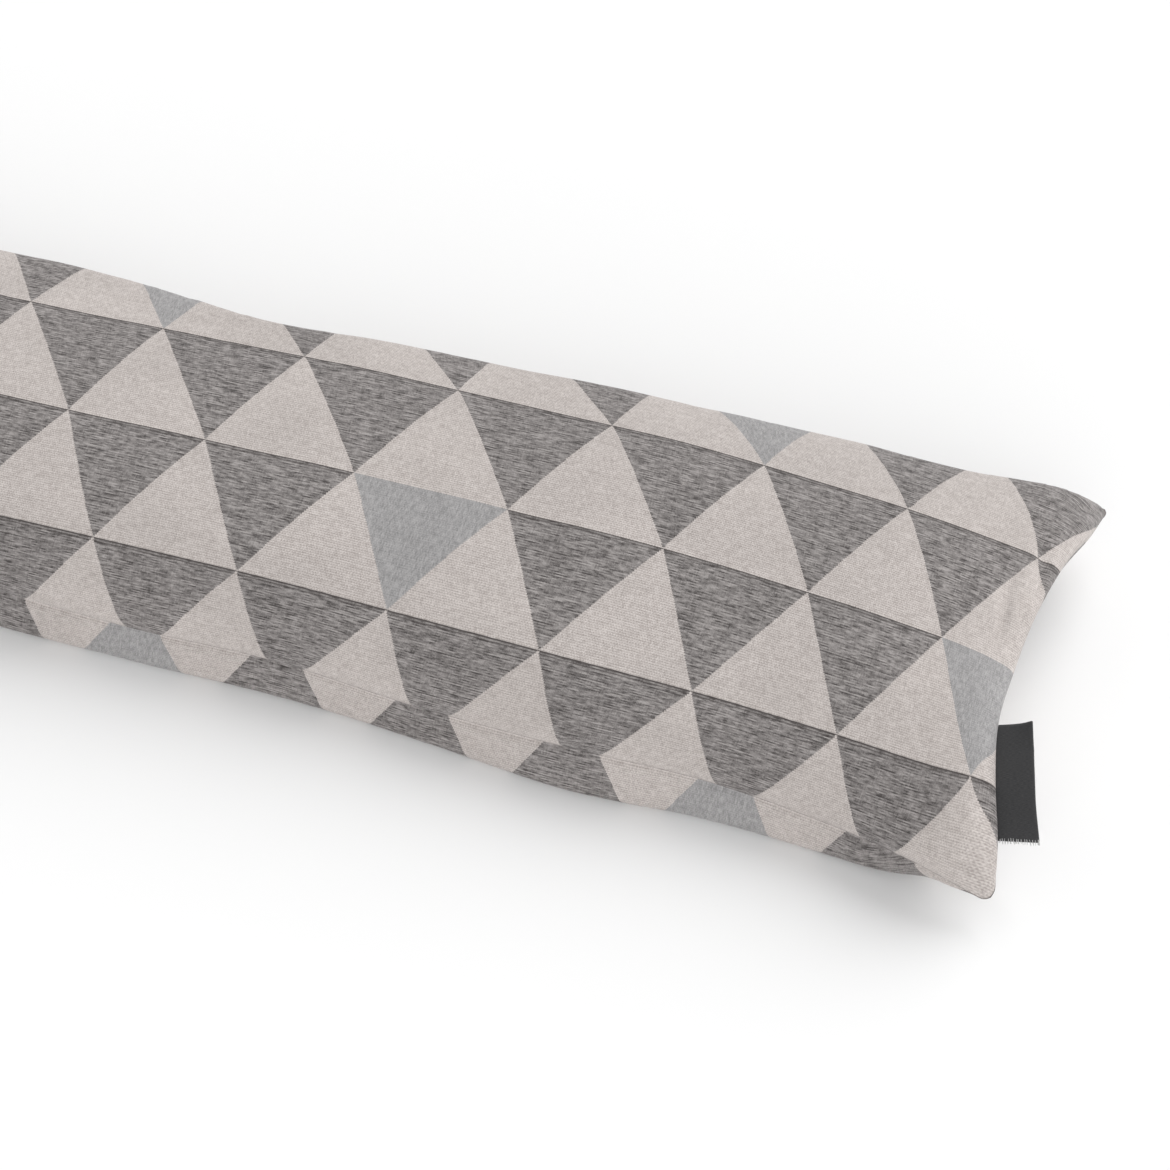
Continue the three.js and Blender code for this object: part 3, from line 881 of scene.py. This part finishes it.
def tape_cloth():
    """The label's tape: a dark satin weave, left bare."""
    g = Nodes("label_tape")
    u, v = g.uv("Tape")
    x = g.math("DIVIDE", u, MM)
    y = g.math("DIVIDE", v, MM)
    long = patches(g, x, y, TAPE_LONG_SIZE, TAPE_LONG_PLANE)
    fine = patches(g, x, y, TAPE_FINE_SIZE, TAPE_FINE_PLANE)
    rib = waves(g, y, TAPE_RIB)
    half = g.math("MULTIPLY_ADD", rib, 0.5, 0.5)
    tone = g.weighed(TAPE_SHARES, {"long": long, "fine": fine, "rib": half})
    colour = g.mix(g.spread(tone, *TAPE_CONTRAST), TAPE_DARK, TAPE_LIGHT)
    relief = g.math("ADD", long, g.math("MULTIPLY", rib, TAPE_RIB_RELIEF))
    return g.cloth(colour, g.spread(fine, *TAPE_ROUGHNESS), relief, TAPE_RELIEF, TAPE_SHEEN)


def thread_cloth():
    """The pale cut threads at the tape's edge."""
    g = Nodes("label_threads")
    u, v = g.uv("Tape")
    tone = g.noise(g.math("DIVIDE", u, THREAD_GRAIN), g.math("DIVIDE", v, THREAD_GRAIN))
    colour = g.mix(g.spread(tone, *TAPE_CONTRAST), THREAD_DARK, THREAD_LIGHT)
    return g.cloth(colour, THREAD_ROUGHNESS, None, 0, THREAD_SHEEN)


# ------------ the label
LABEL_FROM = 0.0215  # along the end seam from the front corner, on the flat cloth
LABEL_TO = 0.0650
LABEL_PLACES = (0, 0.5, 1)  # the front end, the middle and the back end
LABEL_REACH = (0.0170, 0.0165, 0.0160)
LABEL_RISE = (14, 20, 24)  # degrees above level
LABEL_BACK = (4, 4, 1)  # degrees towards the back
LABEL_THICK = 0.00028
LABEL_FOLD = 0.00035  # half the gap between the two plies
LABEL_MOUTH = 0.35  # the plies lie closer together at the seam, by this share
LABEL_OPENS = 3  # and are fully apart at one in so many of their reach
LABEL_WAVE = 0.0006
LABEL_SWELL = (5.2, 0.6)  # the wave's turn along the label and its start, in radians
LABEL_RIPPLE = (11.0, 0.5)  # a finer wave's turn, and its share
LABEL_WAVE_POWER = 1.5
LABEL_CURL = 0.0028  # the back corner curls up
LABEL_CURL_FROM = 0.75
LABEL_CURL_POWER = 3
LABEL_TUCK = 0.0006  # how deep the plies go into the seam
LABEL_COLUMNS = 36
LABEL_STEPS = 18
FOLD_STEPS = 8

THREADS = 36
THREAD_ENDS_FREE = 2  # steps at each end of the tape without a thread
THREAD_JITTER = 0.35
THREAD_SPLAY = 0.12
THREAD_LENGTH = (0.0007, 0.0012)
THREAD_HALF_WIDTH = (0.00012, 0.00018)
THREAD_OFF_FOLD = 0.00024  # above the middle for one ply, below it for the other
THREAD_RINGS = ((-0.9, 1.0), (0.5, 0.9), (1.0, 0.45))  # share of its length and of its width
THREAD_SIDES = 4


def seam_at(fine, rows, places):
    """Points of the labelled end seam at distances from the front corner on the flat cloth."""
    seam = fine[0, -1]
    from_front = rows + PANEL_WIDTH / 2
    return np.stack([np.interp(places, from_front, seam[:, k]) for k in range(3)], -1)


def label_frames(fine, rows):
    """For each column of the label its root, its direction outwards and its upward side."""
    t = np.linspace(0, 1, LABEL_COLUMNS + 1)
    root = seam_at(fine, rows, LABEL_FROM + (LABEL_TO - LABEL_FROM) * t)
    along = np.gradient(root, axis=0)
    along /= np.linalg.norm(along, axis=1, keepdims=True)
    rise = np.radians(table_at(LABEL_PLACES, LABEL_RISE, t))
    back = np.radians(table_at(LABEL_PLACES, LABEL_BACK, t))
    out = np.stack([np.cos(rise) * np.cos(back), np.cos(rise) * np.sin(back), np.sin(rise)], -1)
    up = np.cross(out, along)
    up /= np.linalg.norm(up, axis=1, keepdims=True)
    return t, root, out, up


def label_profile():
    """The folded tape's section: its middle line as (share of the reach, height, bulge)."""
    steps = np.linspace(0, 1, LABEL_STEPS + 1)
    turns = np.linspace(-90, 90, FOLD_STEPS + 1)[1:-1]
    line = [(s, -LABEL_FOLD, 0.0) for s in steps]
    line += [
        (1.0, LABEL_FOLD * math.sin(math.radians(a)), LABEL_FOLD * math.cos(math.radians(a)))
        for a in turns
    ]
    line += [(s, LABEL_FOLD, 0.0) for s in steps[::-1]]
    return np.array(line)


def label_ply(t, root, out, up, reach, profile):
    """One column of the label: points on both faces of the tape, and the length along it."""
    swell, start = LABEL_SWELL
    ripple, share = LABEL_RIPPLE
    wave = LABEL_WAVE * (math.sin(swell * t + start) + share * math.sin(ripple * t))
    turned = LABEL_CURL * max(0.0, t - LABEL_CURL_FROM) / (1 - LABEL_CURL_FROM)
    middle = []
    for s, high, bulge in profile:
        far = -LABEL_TUCK + (reach + LABEL_TUCK) * s + bulge
        apart = high * (LABEL_MOUTH + (1 - LABEL_MOUTH) * min(1, s * LABEL_OPENS))
        lift = apart + wave * s**LABEL_WAVE_POWER + turned * s**LABEL_CURL_POWER
        middle.append(root + out * far + up * lift)
    middle = np.array(middle)
    tangent = np.gradient(middle, axis=0)
    tangent /= np.linalg.norm(tangent, axis=1, keepdims=True)
    side = np.cross(tangent, np.cross(up, out))
    side /= np.linalg.norm(side, axis=1, keepdims=True)
    half = side * LABEL_THICK / 2
    steps = np.linalg.norm(np.diff(middle, axis=0), axis=1)
    return np.concatenate([middle + half, middle - half]), np.concatenate([[0], np.cumsum(steps)])


def label_mesh(fine, rows):
    """The folded tape, closed at both cut edges, and the points of its columns."""
    t, root, out, up = label_frames(fine, rows)
    reach = table_at(LABEL_PLACES, LABEL_REACH, t)
    profile = label_profile()
    inner = len(profile)
    points, places = [], []
    for i in range(len(t)):
        column, length = label_ply(t[i], root[i], out[i], up[i], reach[i], profile)
        points.append(column)
        places.append(np.stack([np.full(inner, (LABEL_TO - LABEL_FROM) * t[i]), length], -1))
    count = 2 * inner
    faces, uvs = [], []
    ring = list(range(inner)) + list(range(count - 1, inner - 1, -1))
    for i in range(len(t) - 1):
        for a, b in zip(ring, ring[1:] + ring[:1]):
            quad = ((i, a), (i, b), (i + 1, b), (i + 1, a))
            faces.append([row * count + col for row, col in quad])
            uvs += [places[row][col % inner] for row, col in quad]
    for i, order in ((0, 1), (len(t) - 1, -1)):
        for k in range(inner - 1):
            quad = (k, k + inner, k + 1 + inner, k + 1)[::order]
            faces.append([i * count + col for col in quad])
            uvs += [places[i][col % inner] for col in quad]
    mesh = made_mesh("label_tape", np.concatenate(points).tolist(), faces, "Tape", uvs)
    return mesh, np.array(points)


def unit(vector):
    """The vector at length 1."""
    return vector / np.linalg.norm(vector)


def threads_mesh(points):
    """The tape's cut weft threads, which stand out of its front edge."""
    rng = np.random.default_rng(SEED)
    inner = points.shape[1] // 2
    edge = (points[0, :inner] + points[0, inner:]) / 2
    inward = (points[2, :inner] + points[2, inner:]) / 2
    verts, faces = [], []
    picks = np.linspace(THREAD_ENDS_FREE, inner - 1 - THREAD_ENDS_FREE, THREADS)
    picks = picks + rng.uniform(-THREAD_JITTER, THREAD_JITTER, THREADS)
    corners = range(THREAD_SIDES)
    for place in picks:
        k = int(place)
        base = edge[k] + (edge[k + 1] - edge[k]) * (place - k)
        away = unit(edge[k] - inward[k]) + rng.normal(0, THREAD_SPLAY, 3)
        length = rng.uniform(*THREAD_LENGTH)
        thick = rng.uniform(*THREAD_HALF_WIDTH)
        base = base + (0, 0, THREAD_OFF_FOLD if place > inner / 2 else -THREAD_OFF_FOLD)
        side = unit(np.cross(away, (0, 0, 1)))
        other = unit(np.cross(away, side))
        start = len(verts)
        for share, width in THREAD_RINGS:
            middle = base + away * length * share
            for corner in corners:
                angle = 2 * math.pi / THREAD_SIDES * corner
                ray = side * math.cos(angle) + other * math.sin(angle)
                verts.append((middle + ray * thick * width).tolist())
        last = start + (len(THREAD_RINGS) - 1) * THREAD_SIDES
        for first in range(start, last, THREAD_SIDES):
            for corner in corners:
                a = first + corner
                b = first + (corner + 1) % THREAD_SIDES
                faces.append((a, b, b + THREAD_SIDES, a + THREAD_SIDES))
        faces.append([start + corner for corner in reversed(corners)])
        faces.append([last + corner for corner in corners])
    flat = [verts[v][:2] for face in faces for v in face]
    return made_mesh("label_threads", verts, faces, "Tape", flat, smooth=False)


# ------------ stage
CAMERA_PLACE = (0.6936, -1.5580, 2.1862)  # fitted to the photo, as its turn and lens are
CAMERA_TURN = (36.727, -0.909, 16.811)  # degrees
CAMERA_LENS = 206.97  # millimetres, on that sensor
CAMERA_SENSOR = 36
CAMERA_CLIP = (0.1, 30)

FLOOR_REACH = 6.0
FLOOR_COLOUR = (0.9, 0.9, 0.9, 1)
FLOOR_ROUGHNESS = 0.9
FLOOR_SPECULAR = 0.1

WORLD_STRENGTH = 0.42
KEY_LIGHT = ((1.3, 2.4, 2.2), 2.45, 60)  # where it shines from, strength, width in degrees
FILL_LIGHT = ((0.9, -2.0, 0.8), 1.95, 80)


def make_object(name, mesh, material):
    """An object of the scene with one mesh and one material."""
    made = bpy.data.objects.new(name, mesh)
    made.data.materials.append(material)
    bpy.context.scene.collection.objects.link(made)
    return made


def make_stage():
    """The plain pale floor."""
    size = FLOOR_REACH
    mesh = bpy.data.meshes.new("floor")
    corners = [(-size, -size, 0), (size, -size, 0), (size, size, 0), (-size, size, 0)]
    mesh.from_pydata(corners, [], [(0, 1, 2, 3)])
    g = Nodes("floor")
    shader = g.add("ShaderNodeBsdfPrincipled")
    shader.inputs["Base Color"].default_value = FLOOR_COLOUR
    shader.inputs["Roughness"].default_value = FLOOR_ROUGHNESS
    shader.inputs["Specular IOR Level"].default_value = FLOOR_SPECULAR
    out = g.add("ShaderNodeOutputMaterial")
    g.feed(out.inputs["Surface"], shader.outputs[0])
    make_object("floor", mesh, g.material)


def make_sun(name, place, strength, angle):
    """A wide, soft light that shines from that direction towards the origin."""
    data = bpy.data.lights.new(name, "SUN")
    data.energy = strength
    data.angle = math.radians(angle)
    light = bpy.data.objects.new(name, data)
    light.location = place
    light.rotation_euler = Vector(place).to_track_quat("Z", "Y").to_euler()
    bpy.context.scene.collection.objects.link(light)


def make_lights():
    """Soft white light from all sides, and two wide lights."""
    world = bpy.data.worlds.new("studio")
    world.use_nodes = True
    background = world.node_tree.nodes["Background"]
    background.inputs["Color"].default_value = (1, 1, 1, 1)
    background.inputs["Strength"].default_value = WORLD_STRENGTH
    bpy.context.scene.world = world
    make_sun("key", *KEY_LIGHT)
    make_sun("fill", *FILL_LIGHT)
    bpy.context.scene.view_settings.view_transform = "Standard"


def make_camera():
    """The camera at the photograph's viewing angle."""
    data = bpy.data.cameras.new("camera")
    data.sensor_width = CAMERA_SENSOR
    data.lens = CAMERA_LENS
    data.clip_start, data.clip_end = CAMERA_CLIP
    camera = bpy.data.objects.new("camera", data)
    camera.location = (CAMERA_PLACE[0] + CUSHION_SHIFT, *CAMERA_PLACE[1:])
    camera.rotation_euler = [math.radians(a) for a in CAMERA_TURN]
    bpy.context.scene.collection.objects.link(camera)
    bpy.context.scene.camera = camera


# ------------ making it all
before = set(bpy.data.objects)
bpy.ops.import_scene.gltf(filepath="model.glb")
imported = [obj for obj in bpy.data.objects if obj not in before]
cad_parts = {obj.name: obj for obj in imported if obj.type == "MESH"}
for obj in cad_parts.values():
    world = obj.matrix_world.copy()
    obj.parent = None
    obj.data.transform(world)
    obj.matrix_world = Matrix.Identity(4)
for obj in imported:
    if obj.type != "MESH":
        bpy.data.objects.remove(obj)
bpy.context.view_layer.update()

make_camera()
make_lights()
make_stage()

panels, along, across = filled_casing(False)
fine, columns, rows = fine_casing(laid(panels, along, across), along, across)
cover = make_object("cushion_cover", cover_mesh(fine, columns, rows), jacquard())
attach(cover, "root")
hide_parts("cushion")

tape_mesh, tape_points = label_mesh(fine, rows)
tape = make_object("label_tape", tape_mesh, tape_cloth())
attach(tape, "root")
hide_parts("label")

threads = make_object("label_threads", threads_mesh(tape_points), thread_cloth())
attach(threads, "root")
